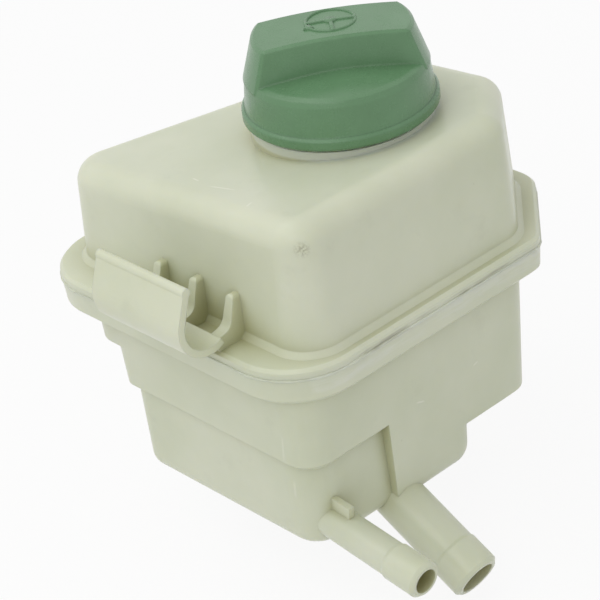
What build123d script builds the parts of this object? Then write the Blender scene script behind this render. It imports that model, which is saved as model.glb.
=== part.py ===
from build123d import *
import os
from math import atan, cos, radians, sin, tan

# Power steering reservoir: a tank of two welded mouldings, with a screw cap, a level
# dipstick and a suction strainer. Millimetres, +Z up. The origin is on the filler neck's
# axis, in the plane of the weld seam. The hose clip is on the -Y side, the hose spigots
# are on the +X side.

# Tank walls
wall = 2.6
draft = 3.0
knit = 2.0                    # how far a moulded-on feature starts inside its wall

# Weld flange, in plan
flange_right = 53.4
flange_front = -78.9
flange_back = 59.9
flange_left = -83.3           # at the front corner, before rounding
flange_skew = 17.5            # lean of the left side, in degrees from +Y
flange_bevel_start = 30.6     # where the right side turns into the bevel
flange_bevel_end = 24.5       # where the bevel meets the back
flange_front_left_radius = 23.0
flange_front_right_radius = 23.0
flange_bevel_radius = 8.0
flange_back_radius = 12.0
lip_height = 3.4
lip_chamfer = 1.1
band_depth = 10.2
band_chamfer = 2.2
band_draft = 4.0

# Upper half: distance of its walls from the flange's edge, and its sloping top
upper_inset_right = 4.7
upper_inset_front = 11.3
upper_inset_back = 7.0
upper_inset_left = 6.7
upper_inset_bevel = 6.5
upper_corner_radius = 13.0
upper_top_height = 43.6       # on the neck's axis
upper_top_rise = 0.089        # rise of the top towards +X
upper_top_rounding = 8.0
upper_foot_chamfer = 1.8

# Filler neck
neck_radius = 25.4
neck_wall = 3.8
neck_rise = 12.2              # neck's mouth above its collar
collar_step = 4.4             # collar's edge, out from the neck
collar_rise = 4.2             # collar above the tank's top, on the neck's axis

# Lower half: depth of each stage below the seam, and distance of its walls from the flange's edge
lower_inset_right = 5.7
lower_inset_front = 5.6
lower_inset_back = 10.0
lower_inset_bevel = 7.1
shoulder_depth = 27.0
shoulder_inset_left = 17.4
shoulder_chamfer = 6.0
shoulder_corner_radius = 12.0
body_depth = 38.5
body_inset_left = 28.8
body_chamfer = 2.4
rear_depth = 60.0
rear_chamfer = 5.0
sump_depth = 71.7
sump_draft = 1.0
sump_inset_front = 3.6        # behind the body's front wall
sump_inset_right = 5.2        # behind the body's right wall
sump_inset_left = 1.4         # behind the body's left wall
sump_flush_start = -38.5      # from here back the sump is flush with the body's right wall
sump_back = 6.1
sump_rounding = 6.5
sump_flush_rounding = 7.8
lower_front_left_radius = 8.0
lower_corner_radius = 12.0

# Return spigot, for the small hose
return_y = -59.4
return_root_height = -63.0
return_slope = 7.6
return_reach = 39.2
return_shank_radius = 5.85
return_bead_radius = 6.3
return_bead_length = 14.0
return_bore_radius = 4.2
stop_rib_length = 6.6
stop_rib_height = 4.2
stop_rib_width = 2.2

# Suction spigot, for the large hose
suction_y = -29.9
suction_root_x = 38.5
suction_root_height = -71.1
suction_slope = 28.0
suction_reach = 38.0
suction_embed = 26.0
suction_shank_radius = 8.4
suction_bead_radius = 8.8
suction_bead_length = 12.0
suction_bore_radius = 6.3
bead_lead = 1.0
tip_rounding = 1.2

# Hose clip
clip_bore_radius = 8.7
clip_wall = 2.5
clip_overhang = 4.0           # clip axis, out from the flange's front edge
clip_axis_height = 16.8
clip_left = -20.1
clip_length = 41.6
clip_lip_angle = 160.0        # where the round part ends and the straight lip starts
clip_floor_angle = 300.0      # where the round part ends under the hose
clip_lip_length = 10.6
clip_lip_bead_radius = 1.6
clip_rib_width = 3.2          # at the top
clip_rib_foot_width = 5.0
clip_rib_tip_radius = 1.3
clip_rib_count = 3
clip_rib_pitch = 17.2
clip_rib_end = 1.8            # gap between the last rib's foot and the clip's end
clip_rib_top = 18.6
clip_rib_top_depth = 1.9      # ribs' tops, out from the tank's wall
clip_rib_bend_depth = 5.0     # where the ribs turn in under the hose
clip_rib_bend_height = 8.7
clip_rib_bend_radius = 4.0
clip_rib_foot = 1.6           # gap between the ribs' feet and the flange's front edge
clip_rib_rounding = 1.5
clip_rib_lap = 12.0           # how far the ribs reach under the round wall, in degrees

# Screw cap
thread_space = 2.5            # between the neck and the cap's bore
cap_wall = 1.8                # at the skirt's top
cap_skirt_flare = 1.1
cap_rim_step = 1.1
cap_rim_height = 4.2
cap_rim_chamfer = 0.8
cap_gap = 1.1                 # between the neck's collar and the cap's rim
cap_roof = 2.9                # above the seal, at the shoulder
cap_shoulder_rounding = 2.6
cap_dome_rise = 3.8           # at the axis, under the grip
grip_angle = 52.7
grip_overhang = 0.3           # grip's rounded ends at their foot, out from the skirt's top
grip_end_lean = 4.8           # how far the ends come in towards the top
grip_foot_width = 25.0
grip_top_width = 22.8
grip_end_height = 11.2
grip_crown = 1.7
grip_chamfer = 0.8
grip_cavity_wall = 2.6
boss_radius = 7.0
boss_length = 6.0

# Seal and dipstick
seal_thickness = 2.5
seal_clearance = 0.4
stick_head_radius = 4.0
stick_width = 7.0
stick_thickness = 2.4
stick_end_height = -24.0
stick_mark_depth = 1.4
stick_mark_length = 4.0
stick_mark_heights = (-16.0, 6.0)

# Suction strainer
strainer_plug_length = 8.0
strainer_plug_bore_radius = 4.2
strainer_seat = 1.0           # plug's start past the spigot's root
strainer_length = 24.0
strainer_cage_radius = 5.6
strainer_rib_width = 1.6
strainer_rib_count = 4
strainer_end_thickness = 1.4
mesh_thickness = 0.5
mesh_clearance = 0.1

# Neck and cap sizes that follow from the sizes above
neck_bore_radius = neck_radius - neck_wall
collar_radius = neck_radius + collar_step
collar_height = upper_top_height + collar_rise
neck_mouth_height = collar_height + neck_rise
cap_bore_radius = neck_radius + thread_space
cap_skirt_top_radius = cap_bore_radius + cap_wall
cap_skirt_foot_radius = cap_skirt_top_radius + cap_skirt_flare
cap_rim_radius = cap_skirt_foot_radius + cap_rim_step
cap_foot = collar_height + cap_gap
cap_seat = neck_mouth_height + seal_thickness
cap_shoulder = cap_seat + cap_roof
cap_roof_top = cap_shoulder + cap_dome_rise
grip_top = cap_shoulder + grip_end_height + grip_crown
grip_ceiling = grip_top - grip_crown - grip_cavity_wall
grip_foot_reach = cap_skirt_top_radius + grip_overhang
grip_top_reach = grip_foot_reach - grip_end_lean


def tank_outline(inset_left, inset_front, inset_right, inset_bevel, inset_back, radii):
    """Plan of the tank: the flange's five sides, each moved in by its own distance."""
    lean = tan(radians(flange_skew))
    left = flange_left + inset_left / cos(radians(flange_skew))
    front = flange_front + inset_front
    right = flange_right - inset_right
    back = flange_back - inset_back
    bevel_rise = (flange_back - flange_bevel_start) / (flange_right - flange_bevel_end)
    bevel_drop = inset_bevel / cos(atan(bevel_rise))
    bevel_start = flange_bevel_start + bevel_rise * inset_right - bevel_drop
    bevel_end = right - (back - bevel_start) / bevel_rise
    corners = [
        (left + lean * (front - flange_front), front),
        (right, front),
        (right, bevel_start),
        (bevel_end, back),
        (left + lean * (back - flange_front), back),
    ]
    return make_face(FilletPolyline(*corners, radius=radii, close=True))


def hollow_plan(plan):
    """Plan inside a wall: the outline moved in, with each round corner as two straight cuts."""
    corners = []
    for edge in offset(plan, -wall).wire().order_edges():
        corners.append(edge @ 0)
        if edge.geom_type == GeomType.CIRCLE:
            corners.append(edge @ 0.5)
    return make_face(Polyline(*corners, close=True))


def hollow_chamfer(rounding):
    """Chamfer inside a wall that is rounded outside."""
    return max(rounding - wall, wall / 2)


def far_edges(block):
    """Edges round the face at the top of a block."""
    return block.faces().sort_by(Axis.Z)[-1].edges()


def tapered_stages(stages):
    """Outside and inside of a hollow form built up from blocks with eased ends on one plane."""
    outside = Part()
    inside = Part()
    for plan, height, lean, ease, size in stages:
        block = extrude(plan, amount=height, taper=lean)
        hollow = extrude(hollow_plan(plan), amount=height - wall, taper=lean)
        outside += ease(far_edges(block), size)
        inside += chamfer(far_edges(hollow), hollow_chamfer(size))
    return outside, inside


def standing_cylinder(radius, bottom, top):
    """Cylinder on the Z axis between two heights."""
    return Pos(0, 0, bottom) * Cylinder(
        radius, top - bottom, align=(Align.CENTER, Align.CENTER, Align.MIN)
    )


def spigot(seat, reach, embed, shank_radius, bead_radius, bead_length, bore_radius):
    """Hose spigot with a bead at its tip, and the bore through it."""
    bead_start = reach - bead_length
    profile = Polyline(
        (0, -embed),
        (shank_radius, -embed),
        (shank_radius, bead_start),
        (bead_radius, bead_start + bead_lead),
        (bead_radius, reach - tip_rounding),
        (bead_radius - tip_rounding, reach),
        (0, reach),
        close=True,
    )
    body = revolve(Plane.XZ * make_face(profile), Axis.Z)
    return seat * body, seat * standing_cylinder(bore_radius, -embed, reach)


# Plans shared by both halves
flange_radii = [
    flange_front_left_radius,
    flange_front_right_radius,
    flange_bevel_radius,
    flange_back_radius,
    flange_back_radius,
]
flange_plan = tank_outline(0, 0, 0, 0, 0, flange_radii)
return_seat_x = flange_right - lower_inset_right - sump_inset_right
suction_seat = Plane(
    origin=(suction_root_x, suction_y, suction_root_height),
    x_dir=(0, 1, 0),
    z_dir=(cos(radians(suction_slope)), 0, -sin(radians(suction_slope))),
)


def clip_rib_profile():
    """Side view of one upright rib, from the tank's wall to the hose, as (y, z)."""
    axis_y = flange_front - clip_overhang
    wall_y = flange_front + upper_inset_front
    floor = radians(clip_floor_angle - clip_rib_lap)
    mid_radius = clip_bore_radius + clip_wall / 2
    plate = make_face(
        FilletPolyline(
            (wall_y + knit, lip_height - knit),
            (flange_front + clip_rib_foot, lip_height - knit),
            (axis_y + mid_radius * cos(floor), clip_axis_height + mid_radius * sin(floor)),
            (wall_y - clip_rib_bend_depth, clip_rib_bend_height),
            (wall_y - clip_rib_top_depth, clip_rib_top),
            (wall_y + knit, clip_rib_top),
            radius=[0, 0, 0, clip_rib_bend_radius, clip_rib_rounding, 0],
            close=True,
        )
    )
    return plate - Pos(axis_y, clip_axis_height) * Circle(clip_bore_radius)


def clip_wall_profile():
    """Section of the clip's round wall with its straight lip and bead, as (y, z)."""
    axis = (flange_front - clip_overhang, clip_axis_height)
    span = clip_floor_angle - clip_lip_angle
    inner = CenterArc(axis, clip_bore_radius, clip_lip_angle, span)
    outer = CenterArc(axis, clip_bore_radius + clip_wall, clip_lip_angle, span)
    lip_run = Vector(sin(radians(clip_lip_angle)), -cos(radians(clip_lip_angle))) * clip_lip_length
    inner_top = inner @ 0 + lip_run
    outer_top = outer @ 0 + lip_run
    section = make_face(
        [
            inner,
            Line(inner @ 1, outer @ 1),
            outer,
            Line(outer @ 0, outer_top),
            Line(outer_top, inner_top),
            Line(inner_top, inner @ 0),
        ]
    )
    bead = (inner_top + outer_top) / 2
    return section + Pos(bead.X, bead.Y) * Circle(clip_lip_bead_radius)


def hose_clip():
    """Open clip for a hose that runs along X, carried by upright ribs."""
    clip = Pos(clip_left, 0, 0) * extrude(Plane.YZ * clip_wall_profile(), amount=clip_length)
    front = make_face(
        FilletPolyline(
            (-clip_rib_foot_width / 2, 0),
            (clip_rib_foot_width / 2, 0),
            (clip_rib_width / 2, clip_rib_top),
            (-clip_rib_width / 2, clip_rib_top),
            radius=[0, 0, clip_rib_tip_radius, clip_rib_tip_radius],
            close=True,
        )
    )
    rib = extrude(Plane.YZ * clip_rib_profile(), amount=clip_rib_foot_width, both=True)
    rib &= extrude(Plane.XZ * front, amount=-flange_front + 2 * clip_overhang)
    last_rib = clip_left + clip_length - clip_rib_end - clip_rib_foot_width / 2
    for index in range(clip_rib_count):
        clip += Pos(last_rib - index * clip_rib_pitch, 0, 0) * rib
    return clip


def upper_half():
    """Upper moulding: sloping hood on the flange's lip, filler neck and hose clip."""
    plan = tank_outline(
        upper_inset_left,
        upper_inset_front,
        upper_inset_right,
        upper_inset_bevel,
        upper_inset_back,
        upper_corner_radius,
    )
    top = Plane(
        origin=(0, 0, upper_top_height),
        x_dir=(1, 0, upper_top_rise),
        z_dir=(-upper_top_rise, 0, 1),
    )
    stock_height = upper_top_height + upper_top_rise * (flange_right - flange_left)

    def hood(outline, lid):
        block = extrude(outline, amount=stock_height, taper=draft)
        return split(block, bisect_by=lid, keep=Keep.BOTTOM)

    outside = hood(plan, top)
    outside = fillet(far_edges(outside), upper_top_rounding)
    inside = hood(hollow_plan(plan), top.offset(-wall))
    inside = chamfer(far_edges(inside), hollow_chamfer(upper_top_rounding))
    lip = extrude(flange_plan, amount=lip_height)
    lip = chamfer(far_edges(lip), lip_chamfer)
    body = lip + outside
    level_faces = body.faces().filter_by(Plane.XY)
    ledge = min(level_faces, key=lambda face: abs(face.center().Z - lip_height))
    body = chamfer(ledge.inner_wires()[0].edges(), upper_foot_chamfer) + hose_clip()
    body += standing_cylinder(collar_radius, upper_top_height / 2, collar_height)
    body += standing_cylinder(neck_radius, upper_top_height / 2, neck_mouth_height)
    body -= inside
    body -= standing_cylinder(neck_bore_radius, upper_top_height / 2, neck_mouth_height)
    return body


def sump_plans():
    """Plans of the sump: its front part, and the rear part flush with the tank's right wall."""
    lean = tan(radians(flange_skew))
    flush = flange_right - lower_inset_right
    left = flange_left + (body_inset_left + sump_inset_left) / cos(radians(flange_skew))

    def block(front, back, right, radii):
        corners = [
            (left + lean * (front - flange_front), front),
            (right, front),
            (right, back),
            (left + lean * (back - flange_front), back),
        ]
        return make_face(FilletPolyline(*corners, radius=radii, close=True))

    return (
        block(
            flange_front + lower_inset_front + sump_inset_front,
            sump_flush_start + 2 * sump_rounding,
            flush - sump_inset_right,
            [lower_front_left_radius, lower_corner_radius, 0, 0],
        ),
        block(sump_flush_start, sump_back, flush, [0, 0, lower_corner_radius, lower_corner_radius]),
    )


def lower_half():
    """Lower moulding: stepped tank with a sump, and the two hose spigots."""

    def stage(inset_left, front_left_radius=lower_front_left_radius):
        return tank_outline(
            inset_left,
            lower_inset_front,
            lower_inset_right,
            lower_inset_bevel,
            lower_inset_back,
            [front_left_radius] + 4 * [lower_corner_radius],
        )

    sump_front, sump_rear = sump_plans()
    shoulder_plan = stage(shoulder_inset_left, shoulder_corner_radius)
    rear_plan = stage(body_inset_left + sump_inset_left) & Pos(0, sump_flush_start) * Rectangle(
        2 * (flange_back - flange_front),
        flange_back - sump_flush_start,
        align=(Align.CENTER, Align.MIN),
    )
    stages = [
        (flange_plan, band_depth, band_draft, chamfer, band_chamfer),
        (shoulder_plan, shoulder_depth, draft, chamfer, shoulder_chamfer),
        (stage(body_inset_left), body_depth, draft, chamfer, body_chamfer),
        (rear_plan, rear_depth, draft, chamfer, rear_chamfer),
        (sump_front, sump_depth, sump_draft, fillet, sump_rounding),
        (sump_rear, sump_depth, draft, fillet, sump_flush_rounding),
    ]
    outside, inside = tapered_stages(stages)
    outside = mirror(outside, about=Plane.XY)
    inside = mirror(inside, about=Plane.XY)

    set_back = return_seat_x + tan(radians(sump_draft)) * return_root_height
    return_seat = Plane(
        origin=(set_back, return_y, return_root_height),
        x_dir=(0, 1, 0),
        z_dir=(cos(radians(return_slope)), 0, -sin(radians(return_slope))),
    )
    return_body, return_bore = spigot(
        return_seat,
        return_reach,
        wall + knit,
        return_shank_radius,
        return_bead_radius,
        return_bead_length,
        return_bore_radius,
    )
    suction_body, suction_bore = spigot(
        suction_seat,
        suction_reach,
        suction_embed,
        suction_shank_radius,
        suction_bead_radius,
        suction_bead_length,
        suction_bore_radius,
    )
    rib_depth = return_shank_radius + stop_rib_height
    stop_rib = return_seat * Pos(0, 0, -knit) * Box(
        stop_rib_width,
        rib_depth,
        stop_rib_length + knit,
        align=(Align.CENTER, Align.MIN, Align.MIN),
    )
    body = outside + return_body + suction_body + stop_rib
    return body - inside - return_bore - suction_bore


def screw_cap():
    """Screw cap: rimmed skirt, rising roof, hollow grip bar across it and a boss below."""
    skirt_top = cap_shoulder - cap_shoulder_rounding
    shoulder_radius = cap_skirt_top_radius - cap_shoulder_rounding
    skirt_foot = cap_foot + cap_rim_height
    shoulder_bend = cap_shoulder_rounding * sin(radians(45))
    side = Polyline(
        (0, cap_foot),
        (cap_rim_radius - cap_rim_chamfer, cap_foot),
        (cap_rim_radius, cap_foot + cap_rim_chamfer),
        (cap_rim_radius, skirt_foot - cap_rim_chamfer),
        (cap_rim_radius - cap_rim_chamfer, skirt_foot),
        (cap_skirt_foot_radius, skirt_foot),
        (cap_skirt_top_radius, skirt_top),
        (shoulder_radius + shoulder_bend, skirt_top + shoulder_bend),
        (shoulder_radius, cap_shoulder),
        (0, cap_roof_top),
        close=True,
    )
    cap = revolve(Plane.XZ * make_face(side), Axis.Z)

    grip = grip_bar()
    upper_edges = [edge for edge in grip.edges() if edge.center().Z > cap_shoulder]
    cap += chamfer(upper_edges, grip_chamfer)
    cap -= standing_cylinder(cap_bore_radius, cap_foot, cap_seat)
    cap -= Pos(0, 0, cap_seat) * Rot(0, 0, grip_angle) * Box(
        2 * (grip_top_reach - grip_cavity_wall),
        grip_top_width - 2 * grip_cavity_wall,
        grip_ceiling - cap_seat,
        align=(Align.CENTER, Align.CENTER, Align.MIN),
    )
    boss = standing_cylinder(boss_radius, cap_seat - boss_length, grip_ceiling + grip_cavity_wall / 2)
    return cap + boss - standing_cylinder(stick_head_radius, cap_seat - boss_length, cap_seat)


def grip_bar():
    """Grip bar with leaning sides, rounded ends and a crowned top."""
    foot_height = cap_shoulder - cap_shoulder_rounding
    stock_length = 2 * grip_foot_reach
    foot = Plane((0, 0, foot_height)) * Rectangle(stock_length, grip_foot_width)
    head = Plane((0, 0, grip_top)) * Rectangle(stock_length, grip_top_width)
    ends = Pos(0, 0, foot_height) * Cone(
        grip_foot_reach,
        grip_top_reach,
        grip_top - foot_height,
        align=(Align.CENTER, Align.CENTER, Align.MIN),
    )
    crown_radius = (grip_top_reach**2 + grip_crown**2) / (2 * grip_crown)
    crown_axis = Pos(0, 0, grip_top - crown_radius) * Rot(90, 0, 0)
    crown = crown_axis * Cylinder(crown_radius, stock_length)
    return Rot(0, 0, grip_angle) * (loft([foot, head]) & ends & crown)


def seal_ring():
    """Flat rubber ring on the neck's mouth."""
    ring = standing_cylinder(neck_radius, neck_mouth_height, cap_seat)
    return ring - standing_cylinder(neck_bore_radius + seal_clearance, neck_mouth_height, cap_seat)


def level_stick():
    """Flat dipstick with a round head in the cap's boss and two level notches."""
    head = standing_cylinder(stick_head_radius, cap_seat - boss_length, cap_seat)
    blade = Pos(0, 0, stick_end_height) * Box(
        stick_width,
        stick_thickness,
        cap_seat - stick_end_height,
        align=(Align.CENTER, Align.CENTER, Align.MIN),
    )
    blade = fillet(blade.faces().sort_by(Axis.Z)[0].edges().filter_by(Axis.Y), stick_mark_depth)
    for height in stick_mark_heights:
        for side in (-1, 1):
            blade -= Pos(side * stick_width / 2, 0, height) * Box(
                2 * stick_mark_depth, 2 * stick_thickness, stick_mark_length
            )
    return Rot(0, 0, grip_angle) * (head + blade)


def strainer():
    """Cage that plugs into the suction bore from inside, and the cloth tube in it."""

    def tube(outer, inner, start, end):
        return standing_cylinder(outer, start, end) - standing_cylinder(inner, start, end)

    cloth_radius = strainer_cage_radius - 2 * mesh_thickness
    cage_end = strainer_seat - strainer_length
    plug_end = strainer_seat + strainer_plug_length
    frame = tube(suction_bore_radius, strainer_plug_bore_radius, strainer_seat, plug_end)
    frame += standing_cylinder(strainer_cage_radius, cage_end - strainer_end_thickness, cage_end)
    cage = tube(strainer_cage_radius, cloth_radius + mesh_clearance, cage_end, strainer_seat)
    spoke = Pos(0, 0, cage_end) * Box(
        2 * strainer_cage_radius,
        strainer_rib_width,
        strainer_length,
        align=(Align.MIN, Align.CENTER, Align.MIN),
    )
    for index in range(strainer_rib_count):
        frame += cage & Rot(0, 0, 360 * index / strainer_rib_count) * spoke
    cloth = tube(cloth_radius, cloth_radius - mesh_thickness, cage_end, strainer_seat)
    return suction_seat * frame, suction_seat * cloth


strainer_frame, strainer_mesh = strainer()
nodes = {
    "upper_shell": upper_half(),
    "lower_shell": lower_half(),
    "fill_cap": screw_cap(),
    "cap_seal": seal_ring(),
    "dipstick": level_stick(),
    "strainer_frame": strainer_frame,
    "strainer_mesh": strainer_mesh,
}

os.makedirs("parts", exist_ok=True)
for name, solid in nodes.items():
    export_step(solid, f"parts/{name}.step")
    print(name, "volume", round(solid.volume), "mm3")
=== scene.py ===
from math import cos, pi, radians, sin

import bmesh
import bpy
from mathutils import Matrix, Vector
from mathutils.bvhtree import BVHTree


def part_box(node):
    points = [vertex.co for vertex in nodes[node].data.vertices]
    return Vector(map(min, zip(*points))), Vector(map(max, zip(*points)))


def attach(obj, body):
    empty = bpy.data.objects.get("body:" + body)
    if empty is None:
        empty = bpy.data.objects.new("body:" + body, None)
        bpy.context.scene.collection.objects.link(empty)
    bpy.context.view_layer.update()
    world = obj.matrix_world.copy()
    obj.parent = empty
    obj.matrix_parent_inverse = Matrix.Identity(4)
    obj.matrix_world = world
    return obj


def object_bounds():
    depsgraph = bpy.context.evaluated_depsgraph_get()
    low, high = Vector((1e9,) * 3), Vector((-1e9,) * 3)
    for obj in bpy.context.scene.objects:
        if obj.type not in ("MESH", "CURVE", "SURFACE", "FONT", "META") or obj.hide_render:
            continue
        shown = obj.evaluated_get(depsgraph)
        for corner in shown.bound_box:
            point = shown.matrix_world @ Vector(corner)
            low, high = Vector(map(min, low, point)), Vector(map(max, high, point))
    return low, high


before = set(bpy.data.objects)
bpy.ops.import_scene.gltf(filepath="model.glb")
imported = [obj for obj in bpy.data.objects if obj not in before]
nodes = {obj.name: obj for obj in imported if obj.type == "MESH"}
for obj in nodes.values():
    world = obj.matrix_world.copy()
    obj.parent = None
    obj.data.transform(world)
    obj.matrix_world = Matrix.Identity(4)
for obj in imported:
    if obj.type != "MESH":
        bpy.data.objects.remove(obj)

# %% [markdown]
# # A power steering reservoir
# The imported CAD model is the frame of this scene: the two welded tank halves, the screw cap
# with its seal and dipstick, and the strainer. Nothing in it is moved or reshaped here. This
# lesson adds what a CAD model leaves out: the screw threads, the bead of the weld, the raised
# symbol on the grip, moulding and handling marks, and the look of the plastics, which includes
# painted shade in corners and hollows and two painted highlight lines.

MM = 0.001
cad_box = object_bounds()
scene = bpy.context.scene
print("nodes", sorted(nodes))

# %% [markdown]
# ## Camera
# The photograph was taken with a long lens, from in front of the corner between the hose clip
# and the spigots, looking down by about thirty degrees. The camera is also rolled a little, as
# the tank's upright edges lean to the left in the picture. A camera in Blender looks along its
# own -Z, so its axes are built from the view direction and then turned by the roll.

# %% Camera at the photograph's angle
camera_azimuth = radians(51.03)
camera_elevation = radians(30.79)
camera_roll = radians(-8.16)
camera_target = Vector((7.639, -34.435, -4.268)) * MM
camera_distance = 803.8 * MM
photo_side = 600
photo_focal = 2500.0

backward = Vector((
    sin(camera_azimuth) * cos(camera_elevation),
    -cos(camera_azimuth) * cos(camera_elevation),
    sin(camera_elevation),
))
level = Vector((cos(camera_azimuth), sin(camera_azimuth), 0.0))
upright = backward.cross(level)
sideways = cos(camera_roll) * level + sin(camera_roll) * upright
upward = cos(camera_roll) * upright - sin(camera_roll) * level

camera_data = bpy.data.cameras.new("photo_camera")
camera_data.sensor_width = 36.0
camera_data.lens = 36.0 * photo_focal / photo_side
camera = bpy.data.objects.new("photo_camera", camera_data)
eye = camera_target + backward * camera_distance
turn = Matrix((sideways, upward, backward)).transposed().to_4x4()
camera.matrix_world = Matrix.Translation(eye) @ turn
scene.collection.objects.link(camera)
scene.camera = camera
print("camera at", [round(value, 3) for value in eye], "lens", camera_data.lens)

# %% [markdown]
# ## Shader arithmetic
# A finish is easier to read as a sum than as a chain of nodes. `Wire` holds one output socket
# and adds a Math node for each operator. `Finish` is one material: its `add` method makes any
# other node from its type, its settings and what goes into its sockets.

# %% Wires and finishes
class Wire:
    """An output socket of a shader node, for use in arithmetic."""

    def __init__(self, finish, socket):
        self.finish = finish
        self.socket = socket

    def math(self, operation, other, swapped=False):
        first, second = (other, self) if swapped else (self, other)
        return self.finish.add("ShaderNodeMath", {"operation": operation}, {0: first, 1: second})

    def __add__(self, other):
        return self.math("ADD", other)

    def __sub__(self, other):
        return self.math("SUBTRACT", other)

    def __rsub__(self, other):
        return self.math("SUBTRACT", other, swapped=True)

    def __mul__(self, other):
        return self.math("MULTIPLY", other)

    __radd__ = __add__
    __rmul__ = __mul__


class Finish:
    """A material with a Principled shader, built node by node."""

    def __init__(self, name, **constants):
        self.material = bpy.data.materials.new(name)
        self.material.use_nodes = True
        self.nodes = self.material.node_tree.nodes
        self.links = self.material.node_tree.links
        self.shader = self.nodes["Principled BSDF"]
        for socket, value in constants.items():
            self.shader.inputs[socket.replace("_", " ")].default_value = value
        self.place = self.add("ShaderNodeTexCoord", output="Object")

    def add(self, kind, settings=None, inputs=None, output=0):
        node = self.nodes.new(kind)
        for key, value in (settings or {}).items():
            if key == "stops":
                self.set_stops(node.color_ramp, value)
            else:
                setattr(node, key, value)
        for key, value in (inputs or {}).items():
            self.feed(node.inputs[key], value)
        return Wire(self, node.outputs[output])

    @staticmethod
    def set_stops(ramp, stops):
        while len(ramp.elements) < len(stops):
            ramp.elements.new(1.0)
        for element, (position, value) in zip(ramp.elements, stops):
            element.position = position
            element.color = (value, value, value, 1.0)

    def feed(self, socket, value):
        if isinstance(value, Wire):
            self.links.new(value.socket, socket)
        else:
            socket.default_value = value

    def set(self, socket, value):
        self.feed(self.shader.inputs[socket], value)

    def noise(self, scale, detail=2.0, rough=0.5, place=None):
        return self.add(
            "ShaderNodeTexNoise",
            inputs={"Vector": place or self.place, "Scale": scale, "Detail": detail, "Roughness": rough},
        )

    def ramp(self, value, *stops):
        return self.add("ShaderNodeValToRGB", {"stops": stops}, {0: value})

    def blend(self, share, first, second):
        return self.add(
            "ShaderNodeMix", {"data_type": "RGBA"}, {0: share, 6: first, 7: second}, output=2
        )

    def stretched(self, scale):
        return self.add("ShaderNodeMapping", inputs={"Vector": self.place, "Scale": scale})

    def axes(self):
        return [
            self.add("ShaderNodeSeparateXYZ", inputs={0: self.place}, output=axis) for axis in range(3)
        ]

    def band(self, value, low, high, soft):
        """1 where the value lies between low and high, fading to 0 over a soft edge."""
        rise = self.add(
            "ShaderNodeMapRange", {"clamp": True}, {0: value, 1: low - soft, 2: low, 3: 0.0, 4: 1.0}
        )
        fall = self.add(
            "ShaderNodeMapRange", {"clamp": True}, {0: value, 1: high, 2: high + soft, 3: 1.0, 4: 0.0}
        )
        return rise * fall

    def line(self, ends, width):
        """1 on a thin line between two points, fading towards its ends and sides."""
        run = ends[1] - ends[0]
        half = run.length / 2
        offset = self.add(
            "ShaderNodeVectorMath", {"operation": "SUBTRACT"}, {0: self.place, 1: (ends[0] + ends[1]) / 2}
        )
        product = {"operation": "DOT_PRODUCT"}
        along = self.add("ShaderNodeVectorMath", product, {0: offset, 1: run.normalized()}, output=1)
        square = self.add("ShaderNodeVectorMath", product, {0: offset, 1: offset}, output=1)
        aside = square - along * along
        return self.band(along, -half / 2, half / 2, half / 2) * self.band(aside, -1.0, 0.0, width**2)

    def spot(self, centre, radius):
        """1 at a point, falling to 0 at a radius."""
        away = self.add(
            "ShaderNodeVectorMath", {"operation": "DISTANCE"}, {0: self.place, 1: centre}, output=1
        )
        return self.band(away, -1.0, 0.0, radius)

    def surface(self, height, depth, edge):
        """Small relief of a moulded surface, over edges eased by a given radius."""
        eased = self.add("ShaderNodeBevel", {"samples": 6}, {"Radius": edge})
        bump = self.add(
            "ShaderNodeBump",
            inputs={"Height": height, "Distance": depth, "Strength": 1.0, "Normal": eased},
        )
        self.set("Normal", bump)


def colour(red, green, blue):
    """A colour given as it looks on screen, from 0 to 255, as Blender's linear colour."""
    parts = [value / 255 for value in (red, green, blue)]
    linear = [v / 12.92 if v <= 0.04045 else ((v + 0.055) / 1.055) ** 2.4 for v in parts]
    return (*linear, 1.0)


print("shader helpers ready")

# %% [markdown]
# ## Where the marks are
# The tank carries a few small moulding and handling marks and two painted highlight lines, and
# each is at a known place in the picture. A ray from the camera through that place meets the
# tank's wall at the mark. A BVH tree over the two halves finds the meeting point, and the wall's
# direction there.

# %% Marks of the picture on the tank's walls
def wall_tree():
    """Search tree over both tank halves."""
    shells = bmesh.new()
    for name in ("upper_shell", "lower_shell"):
        shells.from_mesh(nodes[name].data)
    tree = BVHTree.FromBMesh(shells)
    shells.free()
    return tree


tank_walls = wall_tree()


def on_tank(across, down):
    """Point of the tank's wall under a place in the picture."""
    ray = sideways * (across - photo_side / 2) - upward * (down - photo_side / 2)
    return tank_walls.ray_cast(eye, ray - backward * photo_focal)[0]


scuff_star = on_tank(302, 250)
scratches = [
    (on_tank(192, 178), on_tank(199, 181)),
    (on_tank(246, 207), on_tank(252, 202)),
    (on_tank(208, 186), on_tank(236, 190)),
    (on_tank(473, 366), on_tank(478, 361)),
    (on_tank(416, 403), on_tank(425, 401)),
]
# Painted highlights: two pale lines on the front upright corner of the lower half, where the edge catches
# the light.
painted_highlight_lines = [
    (on_tank(282, 436), on_tank(284, 462)),
    (on_tank(294, 480), on_tank(296, 499)),
]
print("star mark at", [round(value, 4) for value in scuff_star])
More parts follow.
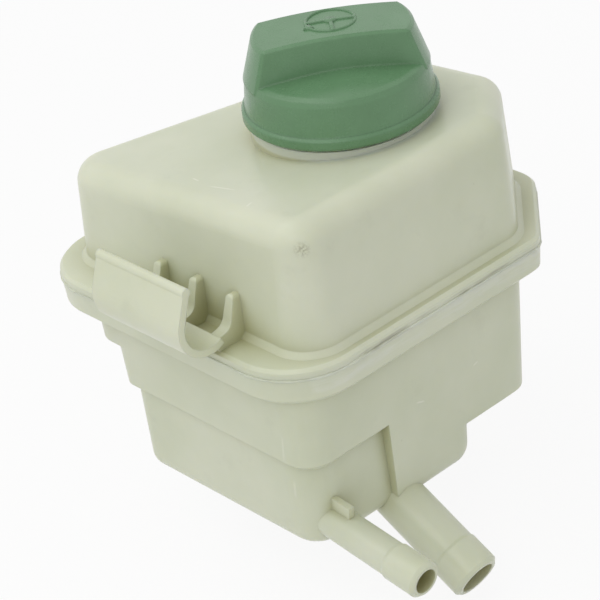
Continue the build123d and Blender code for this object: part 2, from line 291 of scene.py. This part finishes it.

# %% [markdown]
# ## Tank plastic
# The tank is natural polypropylene: pale, slightly green cream that light enters a little way.
# Three things show that in the photograph. Broad soft mottling runs over the walls. Corners and
# recesses turn warm and olive, because light that bounces there has passed through more
# plastic. And the surface is smooth but not glossy, with a fine grain. The mottling comes from
# noise, the warm recesses are painted shade, an olive tint laid in by ambient occlusion, and
# subsurface scattering softens the shade.
# Along the weld on the spigot side the plastic is scraped: a whitish band with dark smears. The
# filler neck is thicker and paler, and the small marks are scratches and a spot with a ragged
# edge. Two pale lines on the front upright corner of the lower half are painted highlights.

# %% Finish of the tank halves
flange_right = 53.4 * MM
scrape_heights = (-5.2 * MM, -0.6 * MM)
smear_heights = (-0.4 * MM, 1.0 * MM)
smear_run = (-50.0 * MM, 22.0 * MM)
neck_reach = 30.5 * MM
neck_heights = (45.2 * MM, 70.0 * MM)
star_radius = 3.0 * MM
scratch_width = 0.4 * MM
painted_highlight_width = 0.6 * MM


def tank_finish(name, worn, edge):
    finish = Finish(
        name,
        Subsurface_Weight=0.22,
        Subsurface_Radius=(1.0, 0.85, 0.5),
        Subsurface_Scale=0.006,
        Specular_IOR_Level=0.4,
    )
    clouds = finish.ramp(finish.noise(22.0, 4.0, 0.55), (0.30, 0.0), (0.72, 1.0))
    cream = finish.blend(clouds, colour(208, 213, 187), colour(220, 223, 201))
    # Painted shade: an olive tint laid into corners and recesses where ambient occlusion finds nearby
    # walls.
    closeness = finish.add(
        "ShaderNodeAmbientOcclusion", {"samples": 8, "only_local": True}, {"Distance": 0.014}, output=1
    )
    painted_recess_shade = finish.ramp(closeness, (0.25, 1.0), (0.92, 0.0))
    cream_and_painted_shade = finish.blend(painted_recess_shade * 0.85, cream, colour(164, 162, 112))
    grain = finish.noise(1500.0, 3.0)
    smudges = finish.ramp(finish.noise(70.0, 5.0, 0.65), (0.60, 0.0), (0.80, 1.0))
    base = finish.blend(smudges * 0.16, cream_and_painted_shade, colour(176, 178, 158))
    if worn:
        along, across, height = finish.axes()
        side = finish.band(along, flange_right - 3.5 * MM, flange_right + 1.0 * MM, 1.0 * MM)
        ragged = finish.noise(260.0, 4.0, 0.7, finish.stretched((0.4, 0.16, 1.6)))
        patch = finish.ramp(ragged, (0.40, 0.0), (0.60, 1.0))
        scraped = side * finish.band(height, *scrape_heights, 1.2 * MM) * patch
        base = finish.blend(scraped * 0.55, base, colour(226, 229, 216))
        streak = finish.noise(420.0, 3.0, 0.6, finish.stretched((0.4, 0.09, 1.0)))
        seam = finish.band(height, *smear_heights, 0.7 * MM)
        run = finish.band(across, *smear_run, 10.0 * MM)
        smear = side * seam * run * finish.ramp(streak, (0.50, 0.0), (0.66, 1.0))
        base = finish.blend(smear * 0.6, base, colour(146, 143, 124))
        neck = finish.band(along * along + across * across, -1.0, neck_reach**2, 0.0001)
        neck = neck * finish.band(height, *neck_heights, 0.8 * MM)
        base = finish.blend(neck * 0.7, base, colour(212, 217, 208))
        ragged_edge = finish.ramp(finish.noise(1300.0, 2.0, 0.7), (0.46, 0.0), (0.56, 1.0))
        star = finish.spot(scuff_star, star_radius) * ragged_edge
        base = finish.blend(star * 0.7, base, colour(158, 156, 128))
        for ends in scratches:
            base = finish.blend(finish.line(ends, scratch_width) * 0.55, base, colour(240, 240, 226))
        # Painted highlights on the front upright corner of the lower half.
        for ends in painted_highlight_lines:
            base = finish.blend(finish.line(ends, painted_highlight_width) * 0.30, base, colour(236, 237, 222))
        grain = grain - star * 12.0
    finish.set("Base Color", base)
    finish.set("Roughness", 0.24 + finish.noise(120.0, 4.0) * 0.14 + smudges * 0.08)
    finish.surface(grain, 0.00001, edge)
    return finish.material


tank_plastic = tank_finish("tank_plastic", worn=True, edge=0.7 * MM)
weld_plastic = tank_finish("weld_plastic", worn=True, edge=0.1 * MM)
for name in ("upper_shell", "lower_shell"):
    nodes[name].data.materials.clear()
    nodes[name].data.materials.append(tank_plastic)
print("tank finish", len(tank_plastic.node_tree.nodes), "shader nodes")

# %% [markdown]
# ## Cap plastic
# The cap is coloured green right through, with a satin skin. Handling has polished it unevenly,
# so the roughness varies more than the colour does. Its hollows carry painted shade: a darker
# green laid in where ambient occlusion finds nearby surfaces.

# %% Finish of the cap and the dipstick
def cap_finish(name, light, dark):
    finish = Finish(name, Specular_IOR_Level=0.45)
    clouds = finish.ramp(finish.noise(45.0, 4.0, 0.6), (0.30, 0.0), (0.75, 1.0))
    green = finish.blend(clouds, dark, light)
    # Painted shade: a darker green laid into the hollows where ambient occlusion finds nearby surfaces.
    closeness = finish.add(
        "ShaderNodeAmbientOcclusion", {"samples": 8, "only_local": True}, {"Distance": 0.008}, output=1
    )
    painted_hollow_shade = finish.ramp(closeness, (0.30, 1.0), (0.90, 0.0))
    finish.set("Base Color", finish.blend(painted_hollow_shade * 0.25, green, colour(58, 92, 58)))
    rubbed = finish.ramp(finish.noise(160.0, 5.0, 0.7), (0.35, 0.0), (0.70, 1.0))
    finish.set("Roughness", 0.20 + rubbed * 0.14)
    finish.surface(finish.noise(2200.0, 3.0), 0.000006, 0.0010)
    return finish.material


cap_plastic = cap_finish("cap_plastic", colour(106, 146, 108), colour(95, 134, 96))
stick_plastic = cap_finish("stick_plastic", colour(96, 132, 100), colour(84, 120, 88))
for name, material in (("fill_cap", cap_plastic), ("dipstick", stick_plastic)):
    nodes[name].data.materials.clear()
    nodes[name].data.materials.append(material)
print("cap finish", len(cap_plastic.node_tree.nodes), "shader nodes")

# %% [markdown]
# ## Seal and strainer
# The seal is black rubber with a dusty bloom. The strainer's cage is the same kind of plastic
# as the tank, and its cloth is a fine square weave: two waves across each other make the
# threads, and the higher one of the two shows.

# %% Finishes of the seal and the strainer
def rubber_finish():
    finish = Finish("seal_rubber", Specular_IOR_Level=0.3)
    bloom = finish.ramp(finish.noise(300.0, 5.0, 0.65), (0.45, 0.0), (0.75, 1.0))
    finish.set("Base Color", finish.blend(bloom * 0.6, colour(24, 24, 24), colour(58, 57, 54)))
    finish.set("Roughness", 0.55 + bloom * 0.25)
    finish.surface(finish.noise(1800.0, 3.0), 0.00005, 0.0004)
    return finish.material


def cloth_finish():
    finish = Finish("filter_cloth", Specular_IOR_Level=0.2)
    waves = [
        finish.add(
            "ShaderNodeTexWave",
            {"bands_direction": direction},
            {"Vector": finish.place, "Scale": 420.0, "Distortion": 0.6, "Detail": 1.0},
            output=1,
        )
        for direction in ("Y", "Z")
    ]
    weave = waves[0].math("MAXIMUM", waves[1])
    finish.set("Base Color", finish.blend(weave, colour(148, 140, 112), colour(226, 219, 196)))
    finish.set("Roughness", 0.85 - weave * 0.15)
    finish.surface(weave, 0.00012, 0.0002)
    return finish.material


strainer_plastic = tank_finish("strainer_plastic", worn=False, edge=0.3 * MM)
for name, material in (
    ("cap_seal", rubber_finish()),
    ("strainer_frame", strainer_plastic),
    ("strainer_mesh", cloth_finish()),
):
    nodes[name].data.materials.clear()
    nodes[name].data.materials.append(material)
print("finished nodes", sorted(nodes))

# %% [markdown]
# ## From bmesh to a piece
# Every new piece is made in a bmesh, in the model's own frame, and then rides on a CAD body so
# that it moves with it. Its material slot holds the finish that it shares.

# %% A helper that turns a bmesh into a piece
def make_piece(mesh_build, name, material, body):
    bmesh.ops.recalc_face_normals(mesh_build, faces=mesh_build.faces)
    mesh = bpy.data.meshes.new(name)
    mesh_build.to_mesh(mesh)
    mesh_build.free()
    mesh.materials.append(material)
    mesh.shade_smooth()
    piece = bpy.data.objects.new(name, mesh)
    scene.collection.objects.link(piece)
    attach(piece, body)
    print(name, "has", len(mesh.polygons), "faces and rides on", body)
    return piece


# %% [markdown]
# ## Screw threads
# A moulded thread is a ridge with sloping flanks that winds round the neck, and its mate winds
# inside the cap in the gaps of the first. A spin with a step along its axis makes such a helix
# from one section. Each end runs out into the wall, so the section's height fades there.

# %% Threads of the neck and the cap
neck_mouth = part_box("cap_seal")[0].z
thread_lead = 4.0 * MM
thread_turns = 2.25
steps_per_turn = 72
run_out_steps = 14


def thread_ridge(root, crest, start):
    ridge = bmesh.new()
    root_half, crest_half = 0.26 * thread_lead, 0.10 * thread_lead
    outline = ((root, -root_half), (crest, -crest_half), (crest, crest_half), (root, root_half))
    corners = [ridge.verts.new((radius, 0.0, start + height)) for radius, height in outline]
    section = ridge.faces.new(corners)
    steps = round(thread_turns * steps_per_turn)
    bmesh.ops.spin(
        ridge,
        geom=[*corners, *section.edges],
        axis=(0, 0, 1),
        cent=(0, 0, 0),
        dvec=(0, 0, thread_lead / steps_per_turn),
        angle=2 * pi * thread_turns,
        steps=steps,
        use_merge=False,
    )
    ridge.verts.ensure_lookup_table()
    for step in range(steps + 1):
        fade = min(1.0, step / run_out_steps, (steps - step) / run_out_steps)
        for vert in ridge.verts[4 * step : 4 * step + 4]:
            radius = vert.co.xy.length
            wanted = root + (radius - root) * max(fade, 0.05)
            vert.co.xy *= wanted / radius
    bmesh.ops.holes_fill(ridge, edges=[edge for edge in ridge.edges if edge.is_boundary])
    return ridge


thread_start = neck_mouth - 10.6 * MM
neck_radius, cap_bore = 25.4 * MM, 27.9 * MM
make_piece(
    thread_ridge(neck_radius - 0.1 * MM, neck_radius + 1.5 * MM, thread_start),
    "neck_thread", weld_plastic, "reservoir",
)
make_piece(
    thread_ridge(cap_bore + 0.1 * MM, cap_bore - 1.5 * MM, thread_start + thread_lead / 2),
    "cap_thread", cap_plastic, "cap",
)

# %% [markdown]
# ## Bead of the weld
# The two halves are pressed together while their edges are molten, and a thin bead squeezes out
# along the joint. A cut through a copy of the lower half, just under the joint, gives the line
# that it follows. A curve with a small round section then makes the bead, and its thickness
# wanders as a real one does.

# %% Weld bead round the flange
def flange_loop(height):
    """Points of the tank's outer edge at a height, in order."""
    cut = bmesh.new()
    cut.from_mesh(nodes["lower_shell"].data)
    bmesh.ops.remove_doubles(cut, verts=cut.verts, dist=1e-6)
    found = bmesh.ops.bisect_plane(
        cut, geom=[*cut.verts, *cut.edges, *cut.faces], plane_co=(0, 0, height), plane_no=(0, 0, 1)
    )
    edges = [item for item in found["geom_cut"] if isinstance(item, bmesh.types.BMEdge)]
    start = max((vert for edge in edges for vert in edge.verts), key=lambda vert: vert.co.x)
    loop, seen = [start], {start}
    while True:
        ahead = [
            edge.other_vert(loop[-1]) for edge in loop[-1].link_edges
            if edge in edges and edge.other_vert(loop[-1]) not in seen
        ]
        if not ahead:
            break
        loop.append(ahead[0])
        seen.add(ahead[0])
    points = [vert.co.copy() for vert in loop]
    cut.free()
    return points


seam_points = flange_loop(-0.25 * MM)
print("seam of", len(seam_points), "points")

bead_half = 0.45 * MM
bead_curve = bpy.data.curves.new("weld_bead_curve", "CURVE")
bead_curve.dimensions = "3D"
bead_curve.bevel_depth = bead_half
bead_curve.bevel_resolution = 2
bead_path = bead_curve.splines.new("POLY")
bead_path.points.add(len(seam_points) - 1)
bead_path.use_cyclic_u = True
for index, (point, place) in enumerate(zip(bead_path.points, seam_points)):
    point.co = (*place, 1.0)
    point.radius = 1.0 + 0.22 * sin(index * 1.7) + 0.15 * sin(index * 0.61 + 1.0)
bead_holder = bpy.data.objects.new("weld_bead_curve", bead_curve)
scene.collection.objects.link(bead_holder)
evaluated = bead_holder.evaluated_get(bpy.context.evaluated_depsgraph_get())
bead_mesh = bpy.data.meshes.new_from_object(evaluated)
bead_build = bmesh.new()
bead_build.from_mesh(bead_mesh)
bpy.data.objects.remove(bead_holder)
bmesh.ops.remove_doubles(bead_build, verts=bead_build.verts, dist=1e-6)
make_piece(bead_build, "weld_bead", weld_plastic, "reservoir")

# %% [markdown]
# ## Symbol on the grip
# The grip's top carries a raised outline of a steering wheel, the usual sign for the fluid that
# goes in here. A round section spun about the middle makes its rim, beveled cubes its spokes, a
# cone its hub, and a three-sided cone the arrow on the rim. The grip's top is crowned, so the
# finished symbol is bent down along the bar by the same curve.

# %% Raised steering wheel on the grip's top
grip_turn = radians(52.7)
grip_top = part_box("fill_cap")[1].z
crown_radius = 191.0 * MM
wheel_radius = 7.9 * MM
wheel_section = 0.55 * MM
wheel_centre = Vector((-1.2 * MM, 0.8 * MM, grip_top))


def wheel_symbol():
    wheel = bmesh.new()
    ring = bmesh.ops.create_circle(wheel, cap_ends=False, radius=wheel_section, segments=8)["verts"]
    bmesh.ops.rotate(wheel, verts=ring, matrix=Matrix.Rotation(pi / 2, 3, "X"))
    bmesh.ops.translate(wheel, verts=ring, vec=(wheel_radius, 0, 0))
    bmesh.ops.spin(
        wheel, geom=[*ring, *wheel.edges], axis=(0, 0, 1), cent=(0, 0, 0), angle=2 * pi, steps=64,
        use_merge=True,
    )
    bmesh.ops.remove_doubles(wheel, verts=wheel.verts, dist=1e-6)
    for heading in (0.0, 180.0, 270.0):
        spoke = bmesh.ops.create_cube(wheel, size=1.0)["verts"]
        bmesh.ops.scale(wheel, verts=spoke, vec=(wheel_radius, 1.3 * MM, 2 * wheel_section))
        bmesh.ops.translate(wheel, verts=spoke, vec=(wheel_radius / 2, 0, 0))
        edges = list({edge for vert in spoke for edge in vert.link_edges})
        bmesh.ops.rotate(wheel, verts=spoke, matrix=Matrix.Rotation(radians(heading), 3, "Z"))
        bmesh.ops.bevel(
            wheel, geom=edges, offset=0.25 * MM, affect="EDGES", segments=2, profile=0.5, material=-1
        )
    bmesh.ops.create_cone(
        wheel, cap_ends=True, segments=32, radius1=2.2 * MM, radius2=1.8 * MM, depth=2 * wheel_section
    )
    arrow = bmesh.ops.create_cone(
        wheel, cap_ends=True, segments=3, radius1=2.2 * MM, radius2=1.8 * MM, depth=2 * wheel_section
    )["verts"]
    bmesh.ops.translate(wheel, verts=arrow, vec=(0, wheel_radius, 0))
    bmesh.ops.rotate(wheel, verts=arrow, matrix=Matrix.Rotation(radians(115.0), 3, "Z"))
    for vert in wheel.verts:
        vert.co.z -= (vert.co.x + wheel_centre.xy.length) ** 2 / (2 * crown_radius)
    bmesh.ops.rotate(wheel, verts=wheel.verts, matrix=Matrix.Rotation(grip_turn, 3, "Z"))
    bmesh.ops.translate(wheel, verts=wheel.verts, vec=wheel_centre)
    return wheel


make_piece(wheel_symbol(), "wheel_symbol", cap_plastic, "cap")

# %% [markdown]
# ## Floor and light
# The picture is a plain studio shot: soft light from above and a little from the left, hardly
# any shadow and a white ground. A large lamp over the tank gives the top its lead over the two
# walls, a weaker one beside the camera fills them in, and a pale sky does the rest. The floor
# and the sky are white for the camera and for reflections, and the floor still takes a shadow.

# %% Floor, sky and lamps
def for_viewing(nodes_of, links_of):
    """1 for rays that look at a thing or mirror it, 0 for rays that carry its light."""
    path = nodes_of.new("ShaderNodeLightPath")
    seen = path.outputs["Is Camera Ray"]
    for ray in ("Is Glossy Ray", "Is Transmission Ray"):
        either = nodes_of.new("ShaderNodeMath")
        either.operation = "MAXIMUM"
        links_of.new(seen, either.inputs[0])
        links_of.new(path.outputs[ray], either.inputs[1])
        seen = either.outputs[0]
    return seen


def floor_finish():
    material = bpy.data.materials.new("studio_floor")
    material.use_nodes = True
    parts, links = material.node_tree.nodes, material.node_tree.links
    paint = parts["Principled BSDF"]
    paint.inputs["Base Color"].default_value = (0.86, 0.86, 0.86, 1.0)
    paint.inputs["Roughness"].default_value = 0.9
    glow = parts.new("ShaderNodeEmission")
    glow.inputs["Strength"].default_value = 1.0
    share = parts.new("ShaderNodeMath")
    share.operation = "MULTIPLY"
    share.inputs[1].default_value = 0.9
    mixed = parts.new("ShaderNodeMixShader")
    links.new(for_viewing(parts, links), share.inputs[0])
    links.new(share.outputs[0], mixed.inputs[0])
    links.new(paint.outputs[0], mixed.inputs[1])
    links.new(glow.outputs[0], mixed.inputs[2])
    links.new(mixed.outputs[0], parts["Material Output"].inputs["Surface"])
    return material


def studio_lamp(name, direction, distance, size, power):
    lamp = bpy.data.lights.new(name, "AREA")
    lamp.size = size
    lamp.energy = power
    holder = bpy.data.objects.new(name, lamp)
    aim = direction.normalized().to_track_quat("Z", "Y").to_matrix().to_4x4()
    holder.matrix_world = Matrix.Translation(camera_target + direction.normalized() * distance) @ aim
    scene.collection.objects.link(holder)


floor_build = bmesh.new()
floor_square = bmesh.ops.create_grid(floor_build, x_segments=1, y_segments=1, size=4.0)["verts"]
bmesh.ops.translate(floor_build, verts=floor_square, vec=(0, 0, cad_box[0][2] - 0.1 * MM))
floor_mesh = bpy.data.meshes.new("floor")
floor_build.to_mesh(floor_mesh)
floor_build.free()
floor_mesh.materials.append(floor_finish())
floor = bpy.data.objects.new("floor", floor_mesh)
scene.collection.objects.link(floor)

sky = bpy.data.worlds.new("studio_sky")
sky.use_nodes = True
sky_parts, sky_links = sky.node_tree.nodes, sky.node_tree.links
glimmer = sky_parts["Background"]
white = sky_parts.new("ShaderNodeBackground")
for background, strength in ((glimmer, 0.62), (white, 1.0)):
    background.inputs["Color"].default_value = (1.0, 1.0, 1.0, 1.0)
    background.inputs["Strength"].default_value = strength
sky_mix = sky_parts.new("ShaderNodeMixShader")
sky_links.new(for_viewing(sky_parts, sky_links), sky_mix.inputs[0])
sky_links.new(glimmer.outputs[0], sky_mix.inputs[1])
sky_links.new(white.outputs[0], sky_mix.inputs[2])
sky_links.new(sky_mix.outputs[0], sky_parts["World Output"].inputs["Surface"])
scene.world = sky

studio_lamp("overhead_lamp", Vector((-0.35, -0.35, 1.0)), 1.1, 0.9, 2.9)
studio_lamp("fill_lamp", backward - sideways * 0.35 + upward * 0.2, 1.3, 0.8, 2.7)
scene.view_settings.view_transform = "Standard"
print("floor at", round(cad_box[0][2], 4), "with", len(bpy.data.lights), "lamps")

# %% [markdown]
# ## Size
# The box of the CAD model is printed. The dressed model has to stay within the CAD model's
# box.

# %% Box of the CAD model
print("cad", [[round(value, 4) for value in corner] for corner in cad_box])
